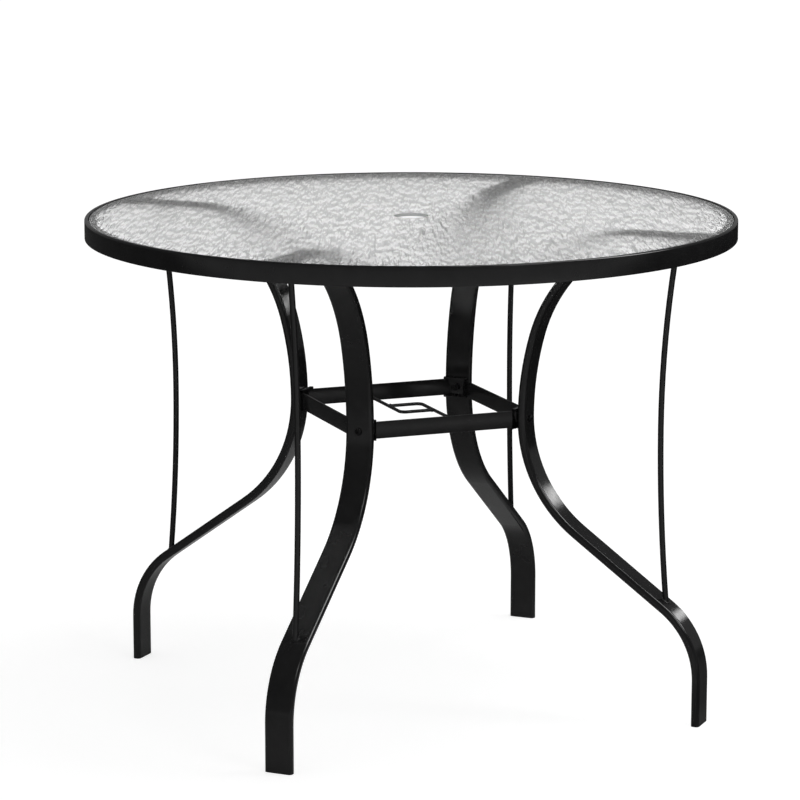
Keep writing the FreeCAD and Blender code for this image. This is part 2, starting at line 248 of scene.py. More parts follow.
def made(name, tree, finish, source=None, **values):
    """Runs a tree on a source's data, or on an empty mesh, and keeps a plain mesh piece."""
    data = source.data if source else bpy.data.meshes.new(name + "_start")
    carrier = bpy.data.objects.new(name + "_carrier", data)
    scene.collection.objects.link(carrier)
    modifier = carrier.modifiers.new("recipe", "NODES")
    modifier.node_group = tree
    labels = {key.replace("_", " ").capitalize(): value for key, value in values.items()}
    labels["Finish"] = finish
    for item in tree.interface.items_tree:
        if item.item_type == "SOCKET" and item.in_out == "INPUT" and item.name in labels:
            modifier[item.identifier] = labels.pop(item.name)
    assert not labels, labels
    graph = bpy.context.evaluated_depsgraph_get()
    mesh = bpy.data.meshes.new_from_object(carrier.evaluated_get(graph), depsgraph=graph)
    mesh.name = name
    carrier.modifiers.remove(modifier)
    bpy.data.objects.remove(carrier)
    piece = bpy.data.objects.new(name, mesh)
    scene.collection.objects.link(piece)
    return piece


def rolled_pattern(tree, here, size, seed, stretch=ripple_stretch):
    """The pebbled pattern of rolled glass at a place, from about 0 in the hollows to 1."""
    along = measured(tree, "DOT_PRODUCT", here, rolled_along / stretch)
    across = measured(tree, "DOT_PRODUCT", here, rolled_across)
    shift = maths(tree, "MULTIPLY", seed, seed_step)
    cell = vector(tree, maths(tree, "ADD", maths(tree, "DIVIDE", along, size), shift),
                  maths(tree, "DIVIDE", across, size))
    pebbles = add(tree, "ShaderNodeTexVoronoi", {
        "Vector": cell, "Scale": 1.0, "Smoothness": 1.0},
        voronoi_dimensions="2D", feature="SMOOTH_F1").outputs["Distance"]
    waves = add(tree, "ShaderNodeTexNoise", {
        "Vector": cell, "Detail": 1.0, "Scale": wave_scale}, noise_dimensions="2D").outputs[0]
    mixed = maths(tree, "MULTIPLY_ADD", pebbles, pebble_share,
                  maths(tree, "MULTIPLY", waves, wave_share))
    return ranged(tree, mixed, 0.0, 1.0, pattern_low, pattern_high)


def pane_recipe():
    """A square grid wound into rings, rippled from below, with rounded rims and a flat top."""
    tree, given, out = recipe(
        "rippled pane", edge_finish=None, hole_radius=hole_radius, outer_radius=pane_radius,
        bottom=pane_bottom, thickness=pane_thickness, rings=pane_rings, hole_rings=hole_rings,
        edge_round=pane_edge_round, hole_edge_round=hole_edge_round, ripple_size=ripple_size,
        ripple_depth=ripple_depth, ripple_fade=ripple_fade, seed=pane_seed)
    inner = maths(tree, "ADD", given["Hole radius"], given["Hole edge round"])
    outer = maths(tree, "SUBTRACT", given["Outer radius"], given["Edge round"])
    top = maths(tree, "ADD", given["Bottom"], given["Thickness"])

    # Rings: the squares of a grid become circles. On a grid's diagonal X counts as the wider
    diagonal_tie = 1e-6
    per_side = maths(tree, "ADD", maths(tree, "MULTIPLY", given["Rings"], 2), 1)
    grid = add(tree, "GeometryNodeMeshGrid", {
        "Size X": 2.0, "Size Y": 2.0, "Vertices X": per_side, "Vertices Y": per_side,
    }).outputs["Mesh"]
    place = parts(tree, position(tree))
    x, y = place["X"], place["Y"]
    across = maths(tree, "ABSOLUTE", x)
    along = maths(tree, "ABSOLUTE", y)
    ring = maths(tree, "MAXIMUM", across, along)
    first = maths(tree, "DIVIDE", given["Hole rings"], given["Rings"])
    in_hole = maths(tree, "LESS_THAN", ring, first)
    grid = add(tree, "GeometryNodeDeleteGeometry", {"Geometry": grid, "Selection": in_hole},
               domain="FACE").outputs[0]
    wide = maths(tree, "GREATER_THAN", maths(tree, "ADD", across, diagonal_tie), along)
    ratio = choose(tree, wide, maths(tree, "DIVIDE", y, x), maths(tree, "DIVIDE", x, y))
    turn = maths(tree, "MULTIPLY", ratio, math.pi / 4)
    main = maths(tree, "COSINE", turn)
    side = maths(tree, "SINE", turn)
    sign = maths(tree, "SIGN", choose(tree, wide, x, y))
    share = maths(tree, "DIVIDE", maths(tree, "SUBTRACT", ring, first),
                  maths(tree, "SUBTRACT", 1.0, first))
    radius = maths(tree, "MULTIPLY_ADD", share, maths(tree, "SUBTRACT", outer, inner), inner)
    reach = maths(tree, "MULTIPLY", radius, sign)
    spot = vector(tree, maths(tree, "MULTIPLY", reach, choose(tree, wide, main, side)),
                  maths(tree, "MULTIPLY", reach, choose(tree, wide, side, main)),
                  given["Bottom"])
    under = add(tree, "GeometryNodeSetPosition", {"Geometry": grid, "Position": spot}).outputs[0]

    # Ripples: they fade out towards the edges
    here = position(tree)
    flat_spot = add(tree, "ShaderNodeVectorMath", {0: here, 1: (1.0, 1.0, 0.0)},
                    operation="MULTIPLY").outputs[0]
    from_axis = measured(tree, "LENGTH", flat_spot)
    to_edge = maths(tree, "MINIMUM", maths(tree, "SUBTRACT", from_axis, inner),
                    maths(tree, "SUBTRACT", outer, from_axis))
    fade = ranged(tree, to_edge, 0.0, 1.0, 0.0, given["Ripple fade"],
                  interpolation_type="SMOOTHSTEP")
    pattern = rolled_pattern(tree, here, given["Ripple size"], given["Seed"])
    height = maths(tree, "MULTIPLY", pattern, given["Ripple depth"])
    lift = vector(tree, z=maths(tree, "MULTIPLY", height, fade))
    under = add(tree, "GeometryNodeSetPosition", {"Geometry": under, "Offset": lift}).outputs[0]
    under = add(tree, "GeometryNodeFlipFaces", {"Mesh": under}).outputs[0]

    # Rims: strips whose section is a quarter round, a short wall and a quarter round
    round_steps = 4
    per_ring = 8
    strips = []
    for edge, width, way, rings in (
        (given["Outer radius"], given["Edge round"], 1.0, given["Rings"]),
        (given["Hole radius"], given["Hole edge round"], -1.0, given["Hole rings"]),
    ):
        around = maths(tree, "ADD", maths(tree, "MULTIPLY", rings, per_ring), 1)
        strip = add(tree, "GeometryNodeMeshGrid", {
            "Size X": 2 * math.pi, "Size Y": 2.0, "Vertices Y": 2 * round_steps + 2,
            "Vertices X": around}).outputs["Mesh"]
        place = parts(tree, position(tree))
        round_turn = ranged(tree, maths(tree, "ABSOLUTE", place["Y"]), 0.0, math.pi / 2,
                            1 / (2 * round_steps + 1), 1.0)
        sunk = maths(tree, "SUBTRACT", maths(tree, "COSINE", round_turn), 1.0)
        drop = maths(tree, "MULTIPLY", sunk, maths(tree, "MULTIPLY", width, way))
        radius = maths(tree, "ADD", edge, drop)
        half = maths(tree, "MULTIPLY", given["Thickness"], 0.5)
        rise = maths(tree, "ADD", maths(tree, "SUBTRACT", half, width),
                     maths(tree, "MULTIPLY", width, maths(tree, "SINE", round_turn)))
        height = maths(tree, "MULTIPLY_ADD", rise, maths(tree, "SIGN", place["Y"]),
                       maths(tree, "ADD", given["Bottom"], half))
        spot = vector(tree, maths(tree, "MULTIPLY", radius, maths(tree, "COSINE", place["X"])),
                      maths(tree, "MULTIPLY", radius, maths(tree, "SINE", place["X"])), height)
        strip = add(tree, "GeometryNodeSetPosition", {
            "Geometry": strip, "Position": spot}).outputs[0]
        if way < 0:
            strip = add(tree, "GeometryNodeFlipFaces", {"Mesh": strip}).outputs[0]
        strips.append(strip)

    # Top: one flat face between the two rims
    loops = add(tree, "GeometryNodeJoinGeometry")
    for rings, radius in ((given["Rings"], outer), (given["Hole rings"], inner)):
        loop = add(tree, "GeometryNodeCurvePrimitiveCircle", {
            "Resolution": maths(tree, "MULTIPLY", rings, per_ring), "Radius": radius})
        tree.links.new(loop.outputs["Curve"], loops.inputs[0])
    lid = add(tree, "GeometryNodeFillCurve", {"Curve": loops.outputs[0]}).outputs["Mesh"]
    lid = add(tree, "GeometryNodeTransform", {
        "Geometry": lid, "Translation": vector(tree, z=top)}).outputs[0]

    merged_within = 0.02 * MM
    whole = add(tree, "GeometryNodeJoinGeometry")
    for part in (*strips, under):
        tree.links.new(smooth(tree, part), whole.inputs[0])
    tree.links.new(smooth(tree, lid, False), whole.inputs[0])
    whole = add(tree, "GeometryNodeMergeByDistance", {
        "Geometry": whole.outputs[0], "Distance": merged_within}).outputs[0]
    whole = add(tree, "GeometryNodeSetMaterial", {
        "Geometry": whole, "Material": given["Edge finish"]}).outputs[0]

    # The faces that look up or down are clear, the rims keep the ground edge's finish
    least_facing = 0.6
    facing = parts(tree, add(tree, "GeometryNodeInputNormal").outputs[0])["Z"]
    level = maths(tree, "GREATER_THAN", maths(tree, "ABSOLUTE", facing), least_facing)
    end_recipe(tree, given, out, whole, level)
    return tree


def ring_recipe():
    """A profile carried round the table's axis."""
    tree, given, out = recipe("round the axis", radius=rim_radius, steps=rim_steps)
    circle = add(tree, "GeometryNodeCurvePrimitiveCircle", {
        "Radius": given["Radius"], "Resolution": given["Steps"]}).outputs["Curve"]
    swept = add(tree, "GeometryNodeCurveToMesh", {
        "Curve": circle, "Profile Curve": given["Geometry"]}).outputs[0]
    end_recipe(tree, given, out, swept)
    return tree


def copies_recipe():
    """Copies of a piece's mesh, set out evenly about the table's axis."""
    tree, given, out = recipe("copies about the axis", count=4, first_angle=0.0)
    points = add(tree, "GeometryNodePoints", {"Count": given["Count"]}).outputs[0]
    step = maths(tree, "DIVIDE", 2 * math.pi, given["Count"])
    index = add(tree, "GeometryNodeInputIndex").outputs[0]
    angle = maths(tree, "MULTIPLY_ADD", index, step, given["First angle"])
    copies = add(tree, "GeometryNodeInstanceOnPoints", {
        "Points": points, "Instance": given["Geometry"],
        "Rotation": vector(tree, z=angle)}).outputs[0]
    end_recipe(tree, given, out, copies)
    return tree


def bead_recipe():
    """A weld bead along each path, rippled by the welder's steps and a little uneven."""
    tree, given, out = recipe(
        "weld bead", bead_radius=1.5 * MM, step=0.5 * MM, ripple_pitch=1.6 * MM, ripple_depth=0.12,
        smallest=0.8, unevenness=0.3, uneven_per_metre=260.0, rounded_ends=1.0, seed=1.0)
    path = add(tree, "GeometryNodeResampleCurve", {
        "Curve": given["Geometry"], "Length": given["Step"]}, mode="LENGTH").outputs[0]
    length = add(tree, "GeometryNodeSplineParameter").outputs["Length"]
    phase = maths(tree, "DIVIDE", length, given["Ripple pitch"])
    scallop = maths(tree, "ABSOLUTE", maths(
        tree, "SINE", maths(tree, "MULTIPLY", phase, math.pi)))
    uneven = add(tree, "ShaderNodeTexNoise", {
        "Vector": position(tree), "Scale": given["Uneven per metre"], "Detail": 1.0,
        "W": given["Seed"]}, noise_dimensions="4D").outputs[0]
    swell = maths(tree, "MULTIPLY_ADD", scallop, given["Ripple depth"],
                  maths(tree, "MULTIPLY_ADD", uneven, given["Unevenness"], given["Smallest"]))
    total = add(tree, "GeometryNodeSplineLength").outputs["Length"]
    to_end = maths(tree, "MINIMUM", length, maths(tree, "SUBTRACT", total, length))
    tapered = maths(tree, "SQRT", maths(
        tree, "MINIMUM", maths(tree, "DIVIDE", to_end, given["Bead radius"]), 1.0))
    thinned = maths(tree, "MULTIPLY", maths(tree, "SUBTRACT", 1.0, tapered),
                    given["Rounded ends"])
    swell = maths(tree, "MULTIPLY", swell, maths(tree, "SUBTRACT", 1.0, thinned))
    section = add(tree, "GeometryNodeCurvePrimitiveCircle", {
        "Radius": 1.0, "Resolution": 12}).outputs["Curve"]
    bead = add(tree, "GeometryNodeCurveToMesh", {
        "Curve": path, "Profile Curve": section, "Fill Caps": True,
        "Scale": maths(tree, "MULTIPLY", given["Bead radius"], swell)}).outputs[0]
    end_recipe(tree, given, out, smooth(tree, bead))
    return tree


# Finishes

def finish_start(name):
    """A material with its tree, its Principled shader and the place on the object."""
    material = bpy.data.materials.new(name)
    material.use_nodes = True
    tree = material.node_tree
    shader = tree.nodes["Principled BSDF"]
    place = add(tree, "ShaderNodeTexCoord").outputs["Object"]
    return material, tree, shader, place


def noise(tree, place, per_metre, detail=2.0, roughness=0.5):
    """Plain noise with so many waves to the metre."""
    return add(tree, "ShaderNodeTexNoise", {
        "Vector": place, "Scale": per_metre, "Detail": detail, "Roughness": roughness}).outputs[0]


def blended(tree, share, low, high):
    """A colour between two, by a share."""
    colour_a, colour_b, colour_out = 6, 7, 2
    node = add(tree, "ShaderNodeMix", {
        "Factor": share, colour_a: (*low, 1), colour_b: (*high, 1)}, data_type="RGBA")
    return node.outputs[colour_out]


def bumped(tree, shader, height, distance, strength=1.0):
    """Bumps the shader's surface by a height of 0 to 1 times a distance in metres."""
    bump = add(tree, "ShaderNodeBump", {
        "Height": height, "Distance": distance, "Strength": strength})
    tree.links.new(bump.outputs[0], shader.inputs["Normal"])


def clouded(tree, shader, place, per_metre, low, high):
    """The shader's colour: it wanders between two colours with the noise."""
    share = ranged(tree, noise(tree, place, per_metre, 3.0), 0.0, 1.0)
    tree.links.new(blended(tree, share, low, high), shader.inputs["Base Color"])


def worn(tree, shader, place, per_metre, low, high, detail=3.0):
    """The shader's roughness: it wanders between two values with the noise."""
    tree.links.new(ranged(tree, noise(tree, place, per_metre, detail), low, high),
                   shader.inputs["Roughness"])


def powder_coat():
    """Satin black powder coat: orange peel, faint mottling and dust in its gloss."""
    material, tree, shader, place = finish_start("black powder coat")
    clouded(tree, shader, place, per_metre=35, low=(0.0105, 0.0105, 0.0108),
            high=(0.0145, 0.0145, 0.0148))
    worn(tree, shader, place, per_metre=60, low=0.12, high=0.17, detail=4.0)
    shader.inputs["Specular IOR Level"].default_value = 0.38
    peel = noise(tree, place, per_metre=420, detail=1.0, roughness=0.4)
    bumped(tree, shader, peel, distance=0.02 * MM, strength=0.15)
    return material


def rippled_glass():
    """Clear tempered glass, its colour painted light grey where the rolled pattern runs high, as
    painted speckle for the light the ripples bend; its underside a little frosted.
    """
    material, tree, shader, place = finish_start("rippled tempered glass")
    pattern = rolled_pattern(tree, place, ripple_size, pane_seed)
    grain = rolled_pattern(tree, place, grain_size, pane_seed + 1, grain_stretch)
    # Painted speckle: the pattern greys the colour, standing in for the bright and dark specks of
    # light that the ripples bend
    pattern_share, grain_share = 0.2, 0.8
    painted_speckle = maths(tree, "MULTIPLY_ADD", pattern, pattern_share,
                  maths(tree, "MULTIPLY", grain, grain_share))
    painted_speckle_grey = ranged(tree, painted_speckle, 0.0, 1.0, from_low=0.2, from_high=0.72)
    tree.links.new(blended(tree, painted_speckle_grey, low=(1.0, 1.0, 1.0), high=(0.78, 0.79, 0.785)),
                   shader.inputs["Base Color"])
    shader.inputs["Transmission Weight"].default_value = 0.93
    shader.inputs["IOR"].default_value = 1.52
    below = maths(tree, "LESS_THAN", parts(tree, place)["Z"], pane_bottom + pane_thickness / 2)
    smooth_top, frosted_underside = 0.015, 0.30
    tree.links.new(ranged(tree, below, smooth_top, frosted_underside, 0.0, 1.0),
                   shader.inputs["Roughness"])
    bumped(tree, shader, maths(tree, "MULTIPLY", grain, below), distance=1.1 * MM)
    return material


def ground_edge():
    """The whitish ground edge of tempered glass."""
    material, tree, shader, place = finish_start("ground glass edge")
    clouded(tree, shader, place, per_metre=400, low=(0.88, 0.91, 0.90), high=(0.96, 0.98, 0.97))
    shader.inputs["Roughness"].default_value = 0.5
    shader.inputs["IOR"].default_value = 1.52
    bumped(tree, shader, noise(tree, place, per_metre=2500), distance=0.05 * MM, strength=0.4)
    return material


def moulded(name, low, high, roughness, per_metre, depth):
    """A plain moulded or coated finish with fine grain."""
    material, tree, shader, place = finish_start(name)
    wear = 0.06
    clouded(tree, shader, place, per_metre=90, low=low, high=high)
    worn(tree, shader, place, per_metre=240, low=roughness - wear, high=roughness + wear)
    shader.inputs["Specular IOR Level"].default_value = 0.4
    bumped(tree, shader, noise(tree, place, per_metre), depth, strength=0.5)
    return material


def plated(name, low, high, roughness):
    """Plated steel: metal with faint cloudiness and fine drawing marks."""
    material, tree, shader, place = finish_start(name)
    wear = 0.07
    clouded(tree, shader, place, per_metre=160, low=low, high=high)
    worn(tree, shader, place, per_metre=420, low=roughness - wear, high=roughness + wear)
    shader.inputs["Metallic"].default_value = 1.0
    bumped(tree, shader, noise(tree, place, per_metre=1900), distance=0.03 * MM, strength=0.4)
    return material


finishes = {
    "powder_coated_steel": powder_coat(),
    "rippled_glass": rippled_glass(),
    "pad_rubber": moulded(
        "matt rubber", low=(0.020, 0.020, 0.020), high=(0.032, 0.032, 0.031),
        roughness=0.72, per_metre=1500, depth=0.06 * MM),
    "foot_plastic": moulded(
        "moulded black plastic", low=(0.011, 0.011, 0.012), high=(0.018, 0.018, 0.018),
        roughness=0.52, per_metre=1800, depth=0.05 * MM),
    "black_hardware": plated(
        "black plated steel", low=(0.020, 0.020, 0.021), high=(0.034, 0.034, 0.034),
        roughness=0.42),
    "zinc_hardware": plated(
        "bright zinc plate", low=(0.55, 0.56, 0.56), high=(0.68, 0.68, 0.66), roughness=0.33),
}


# Shapes

def rounded(corners, steps=5):
    """Points of an outline whose corners are (a, b) or (a, b, radius)."""
    points = []
    for k, (a, b, *radius) in enumerate(corners):
        corner = Vector((a, b))
        if not radius or radius[0] == 0:
            points.append(corner)
            continue
        before = (Vector(corners[k - 1][:2]) - corner).normalized()
        after = (Vector(corners[(k + 1) % len(corners)][:2]) - corner).normalized()
        half = before.angle(after) / 2
        centre = corner + (before + after).normalized() * (radius[0] / math.sin(half))
        start = corner + before * (radius[0] / math.tan(half)) - centre
        turn = math.pi - 2 * half
        if start.cross(after) < 0:
            turn = -turn
        for i in range(steps + 1):
            angle = turn * i / steps
            cos, sin = math.cos(angle), math.sin(angle)
            points.append(centre + Vector((start.x * cos - start.y * sin,
                                           start.x * sin + start.y * cos)))
    return points


def shaded(mesh):
    """Smooth shading that leaves the sharp edges sharp."""
    mesh.shade_smooth()
    mesh.set_sharp_from_angle(angle=sharp_angle)


def mesh_piece(name, build, bevel=0.0):
    """A mesh object from a function that fills a bmesh, its sharp edges rounded by bevel."""
    shape = bmesh.new()
    build(shape)
    bmesh.ops.remove_doubles(shape, verts=shape.verts, dist=1e-6)
    bmesh.ops.recalc_face_normals(shape, faces=shape.faces)
    if bevel:
        sharp = [e for e in shape.edges
                 if len(e.link_faces) == 2 and e.calc_face_angle() > bevel_angle]
        bmesh.ops.bevel(shape, geom=sharp, offset=bevel, segments=3, profile=0.5,
                        affect="EDGES", clamp_overlap=True)
    mesh = bpy.data.meshes.new(name)
    shape.to_mesh(mesh)
    shape.free()
    shaded(mesh)
    piece = bpy.data.objects.new(name, mesh)
    scene.collection.objects.link(piece)
    return piece


def skin(shape, rings, closed=True):
    """Quads between rings of equal length, and a cap on each end if closed."""
    made_rings = [[shape.verts.new(point) for point in ring] for ring in rings]
    count = len(made_rings[0])
    for lower, upper in zip(made_rings, made_rings[1:]):
        for k in range(count):
            m = (k + 1) % count
            shape.faces.new((lower[k], lower[m], upper[m], upper[k]))
    if closed:
        shape.faces.new(reversed(made_rings[0]))
        shape.faces.new(made_rings[-1])


def hexagon(across_flats, angle):
    """How far a hexagon's side is from its middle at an angle."""
    within = (angle % (math.pi / 3)) - math.pi / 6
    return across_flats / 2 / math.cos(within)


def turned_ring(steps, radius, height, across_flats=0.0, slope=0.0):
    """A ring: a level circle, or a hexagon that rises by a slope beyond the radius."""
    points = []
    for k in range(steps):
        angle = 2 * math.pi * k / steps
        reach = hexagon(across_flats, angle) if across_flats else radius
        points.append(Vector((reach * math.cos(angle), reach * math.sin(angle),
                              height + slope * (reach - radius))))
    return points


def bolt_rings(length):
    """Rings of a socket button-head bolt, its head's seat at 0 and its thread going up."""
    steps, dome_steps = 24, 5
    dome_from, dome_to = 18, 86
    draft, mouth_depth = 0.01 * MM, 0.1 * MM
    edge_height, under_edge = 0.25 * MM, 0.2 * MM
    rings = [
        turned_ring(steps, 0, -socket_floor, across_flats=socket_flats - draft),
        turned_ring(steps, 0, mouth_depth - head_height, across_flats=socket_flats),
        turned_ring(steps, socket_mouth, -head_height),
    ]
    for k in range(dome_steps + 1):
        angle = math.radians(dome_from + (dome_to - dome_from) * k / dome_steps)
        rings.append(turned_ring(steps, head_radius - dome_radius * (1 - math.sin(angle)),
                                 dome_radius * (1 - math.cos(angle)) - head_height))
    start = length - threaded_length
    for radius, height in ((head_radius, -edge_height), (head_radius - under_edge, 0),
                           (bolt_radius, 0), (bolt_radius, start)):
        rings.append(turned_ring(steps, radius, height))
    turns = int(threaded_length / thread_pitch)
    for k in range(turns):
        rings.append(turned_ring(steps, thread_root, start + (k + 0.5) * thread_pitch))
        crest = bolt_radius if k < turns - 1 else bolt_tip
        rings.append(turned_ring(steps, crest, min(start + (k + 1) * thread_pitch, length)))
    return rings


def washer_rings():
    """Rings of a flat washer with rounded edges, its seat at 0; the last closes on the first."""
    steps = 36
    edge = 0.15 * MM
    outline = rounded([
        (washer_hole, 0, edge), (washer_radius, 0, edge),
        (washer_radius, washer_thickness, edge), (washer_hole, washer_thickness, edge)], 2)
    return [turned_ring(steps, p.x, p.y) for p in outline + outline[:1]]


def nut_rings():
    """Rings of a hexagon nut with chamfered corners, its seat at 0."""
    steps = 36
    slope = math.tan(math.radians(30))
    face, mouth, lead = 4.75 * MM, 3.45 * MM, 0.5 * MM
    return [
        turned_ring(steps, nut_bore, lead), turned_ring(steps, mouth, 0),
        turned_ring(steps, face, 0), turned_ring(steps, face, 0, nut_flats, slope),
        turned_ring(steps, face, nut_height, nut_flats, -slope),
        turned_ring(steps, face, nut_height), turned_ring(steps, mouth, nut_height),
        turned_ring(steps, nut_bore, nut_height - lead), turned_ring(steps, nut_bore, lead),
    ]


def rivet_nut_rings():
    """Rings of a rivet nut: a flange below the tube's wall, a bulge above it and its body."""
    return [turned_ring(32, radius * MM, height * MM) for radius, height in (
        (3.05, 0), (4.5, 0), (4.5, 1.2), (5.6, 1.3), (5.8, 1.9), (5.8, 2.4), (5.6, 2.9),
        (4.5, 3.0), (4.5, 8.8), (4.3, 9), (3.4, 9), (3.05, 8.6), (3.05, 0))]


def placed(rings, matrix):
    """The rings, moved by a matrix."""
    return [[matrix @ point for point in ring] for ring in rings]


def upright_at(radius, height):
    """A matrix that stands a piece at a radius and height, its Z axis up."""
    return Matrix.Translation((radius, 0, height))


def inward_at(radius, height):
    """A matrix that lays a piece's Z axis towards the table's axis."""
    return Matrix.Translation((radius, 0, height)) @ Matrix.Rotation(-math.pi / 2, 4, "Y")


def prism(shape, outline, matrix, length):
    """An outline's solid: (a, b) go along the matrix's X and Y and the length along its Z."""
    rings = [[matrix @ Vector((p.x, p.y, z)) for p in outline] for z in (0, length)]
    skin(shape, rings)


def path_curve(name, splines):
    """A curve object of open or closed straight-run splines, each (points, closed)."""
    data = bpy.data.curves.new(name, "CURVE")
    data.dimensions = "3D"
    for points, closed in splines:
        spline = data.splines.new("POLY")
        spline.points.add(len(points) - 1)
        for place, point in zip(spline.points, points):
            place.co = (*point, 1)
        spline.use_cyclic_u = closed
    return bpy.data.objects.new(name, data)


def ellipse(centre, long_axis, short_axis, steps=40):
    """A closed path, with its half axes as vectors."""
    turn = 2 * math.pi / steps
    return [centre + long_axis * math.cos(turn * k) + short_axis * math.sin(turn * k)
            for k in range(steps)], True


def keep(piece, slot, *nodes):
    """The piece rides on the table and stands for these nodes. The slot is not used."""
    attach(piece, "root")
    if nodes:
        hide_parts(*nodes)


sides = ("front", "right", "back", "left")
copies = copies_recipe()


def on_every_leg(name, slot, build, nodes, bevel=0.0, count=4, first_angle=first_leg):
    """Builds a piece at azimuth 0 and sets copies of it out about the axis."""
    one = mesh_piece(name + "_one", build, bevel)
    piece = made(name, copies, finishes[slot], one, count=count, first_angle=first_angle)
    bpy.data.objects.remove(one)
    keep(piece, slot, *nodes)


# Glass pane
pane = made("glass_pane", pane_recipe(), finishes["rippled_glass"], edge_finish=ground_edge())
keep(pane, "rippled_glass", "glass_top")

# Rim: the strip's section, carried round. Its X is measured outwards from the skirt's face
inner_back = lip_inner_radius + strip_wall
under_lip = table_height - strip_wall
skirt_inner = rim_radius - strip_wall
rim_outline = rounded([
    (rim_radius, skirt_low, rim_edge), (rim_radius, table_height, rim_top_bend),
    (lip_inner_radius, table_height, lip_bend), (lip_inner_radius, ledge_top, ledge_inner_bend),
    (ledge_inner_radius, ledge_top, rim_edge), (ledge_inner_radius, ledge_bottom, rim_edge),
    (inner_back, ledge_bottom, ledge_outer_bend), (inner_back, under_lip),
    (skirt_inner, under_lip, rim_top_bend - strip_wall), (skirt_inner, skirt_low, rim_edge),
], 6)
section = path_curve("rim_section", [([(p.x - rim_radius, -p.y, 0) for p in rim_outline], True)])
rim = made("rim", ring_recipe(), finishes["powder_coated_steel"], section)
shaded(rim.data)
keep(rim, "powder_coated_steel", "top_rim")


# Pads: discs with rounded edges, on the middle of the ledge
def build_pad(shape):
    cap = 0.5 * MM
    low_round, high_round = 0.3 * MM, 0.4 * MM
    rings = [turned_ring(32, p.x, p.y) for p in rounded([
        (cap, 0), (pad_radius, 0, low_round), (pad_radius, pad_height, high_round),
        (cap, pad_height)], 3)]
    middle = (ledge_inner_radius + lip_inner_radius) / 2
    skin(shape, placed(rings, upright_at(middle, ledge_top)))


on_every_leg("glass_pads_moulded", "pad_rubber", build_pad, ["glass_pads"],
             count=pad_count, first_angle=math.pi / pad_count)


# Saddles: bent channels under the arms' ends
def build_saddle(shape):
    outer = saddle_half + saddle_wall
    inner_bend = 0.3 * MM
    outline = rounded([
        (-outer, ledge_bottom), (-outer, saddle_bottom, saddle_bend),
        (outer, saddle_bottom, saddle_bend), (outer, ledge_bottom),
        (saddle_half, ledge_bottom), (saddle_half, arm_bottom, inner_bend),
        (-saddle_half, arm_bottom, inner_bend), (-saddle_half, ledge_bottom),
    ], 4)
    across = Matrix(((0, 0, 1, saddle_inner), (1, 0, 0, 0), (0, 1, 0, 0), (0, 0, 0, 1)))
    prism(shape, outline, across, saddle_outer - saddle_inner)


on_every_leg("rim_saddles", "powder_coated_steel", build_saddle,
             ["rim_saddle_" + side for side in sides], bevel=0.25 * MM)


# Brackets: bent channels on the legs' inner faces
def build_bracket(shape):
    low = brace_height - bracket_height / 2
    high = brace_height + bracket_height / 2
    tip = leg_inner_face - bracket_depth
    inner_bend = bracket_bend - bracket_wall
    outline = rounded([
        (tip, high), (leg_inner_face, high, bracket_bend), (leg_inner_face, low, bracket_bend),
        (tip, low), (tip, low + bracket_wall), (web_inner_face, low + bracket_wall, inner_bend),
        (web_inner_face, high - bracket_wall, inner_bend), (tip, high - bracket_wall),
    ], 5)
    upright = Matrix(((1, 0, 0, 0), (0, 0, 1, -bracket_width / 2), (0, 1, 0, 0), (0, 0, 0, 1)))
    prism(shape, outline, upright, bracket_width)


on_every_leg("brace_brackets", "powder_coated_steel", build_bracket,
             ["brace_bracket_" + side for side in sides], bevel=0.3 * MM)


# Bars: flat steel on edge with rolled edges, their ends cut to lie on the brackets' webs
def build_bar(shape):
    corner_sum = web_inner_face * math.sqrt(2)
    inner = bar_outer - bar_thickness
    low = brace_height - bar_height / 2
    high = brace_height + bar_height / 2
    outline = rounded([(a, b, bar_edge_round) for a, b in (
        (inner, low), (bar_outer, low), (bar_outer, high), (inner, high))], 4)
    rings = [[Vector((p.x, way * (corner_sum - p.x), p.y)) for p in outline] for way in (-1, 1)]
    skin(shape, rings)


on_every_leg("brace_bars", "powder_coated_steel", build_bar,
             ["brace_bar_" + side for side in ("near", "right", "far", "left")], first_angle=0.0)


# Foot plugs: a flange as wide as the tube and a ribbed cup inside
def build_plug(shape):
    least_corner = 0.3 * MM

    def ring(inset, height):
        x, y = leg_thickness / 2 - inset, leg_width / 2 - inset
        r = max(leg_corner - inset, least_corner)
        return [Vector((foot_radius + p.x, p.y, height)) for p in rounded(
            [(x, y, r), (-x, y, r), (-x, -y, r), (x, -y, r)], 6)]

    skin(shape, [ring(inset * MM, height * MM) for inset, height in (
        (0.5, 0), (0.12, 0.15), (0, 0.5), (0, 1.9), (0.15, 2.2), (1.35, 2.2), (1.35, 19.6),
        (1.8, 20.2), (2.95, 20.2), (2.95, 2.4))])


on_every_leg("foot_plugs", "foot_plastic", build_plug, ["foot_plug_" + side for side in sides])


# Fasteners
def fastened(name, slot, rings, places, closed=False):
    """A fastener from its rings in each of its places on a leg, and the same on every leg."""
    def build(shape):
        for place in places:
            skin(shape, placed(rings, place), closed)

    on_every_leg(name + "_detailed", slot, build, [name])


def under_arm(height):
    """The two places of an arm's bolts, at a height."""
    return [upright_at(radius, height) for radius in arm_bolt_radii]


def on_brace(radius):
    """The place of a brace bolt at a radius."""
    return [inward_at(radius, brace_height)]


bolt_seat = saddle_bottom - washer_thickness
nut_seat = web_inner_face - washer_thickness
fastened("arm_bolts", "black_hardware", bolt_rings(arm_bolt_length), under_arm(bolt_seat), True)
fastened("arm_washers", "black_hardware", washer_rings(), under_arm(bolt_seat))
fastened("arm_rivet_nuts", "zinc_hardware", rivet_nut_rings(), under_arm(arm_bottom))
fastened("brace_bolts", "black_hardware", bolt_rings(brace_bolt_length),
         on_brace(leg_outer_face + bolt_stand), True)
fastened("brace_washers", "black_hardware", washer_rings(), on_brace(web_inner_face))
fastened("brace_nuts", "black_hardware", nut_rings(), on_brace(nut_seat))

# Weld beads
bead = bead_recipe()


